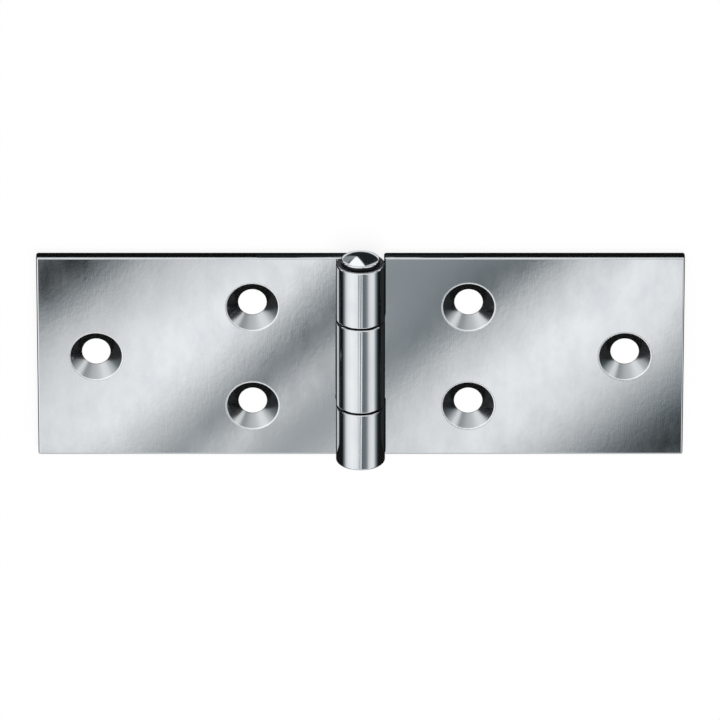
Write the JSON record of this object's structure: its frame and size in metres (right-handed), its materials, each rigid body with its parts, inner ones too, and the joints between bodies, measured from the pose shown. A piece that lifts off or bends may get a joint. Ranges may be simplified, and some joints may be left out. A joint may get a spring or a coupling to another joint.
{
  "type": "wide table hinge",
  "caption": "Wide flat table hinge with two countersunk sheet leaves rolled round a riveted pin, folding from flat.",
  "frame": {"origin": "under the pin's axis, halfway along the leaves, on the plane of the leaves' backs", "axes": "+X across the open hinge towards the right leaf, +Y along the pin towards its formed head, +Z out of the countersunk faces"},
  "size_m": [0.1, 0.0357, 0.0076],
  "materials": {
    "leaf_steel": "bright cold-rolled sheet steel, tumbled edges, fine rolling grain along the pin",
    "pin_steel": "bright drawn steel wire with formed heads"
  },
  "bodies": {
    "left": {"left_leaf": "leaf_steel", "pin": "pin_steel"},
    "right": {"right_leaf": "leaf_steel"}
  },
  "joints": [
    {"name": "leaf_swing", "type": "hinge", "parent": "left", "child": "right", "pos_m": [0, 0, 0.0038], "axis": [0, -1, 0], "range_deg": [-84, 180]}
  ]
}
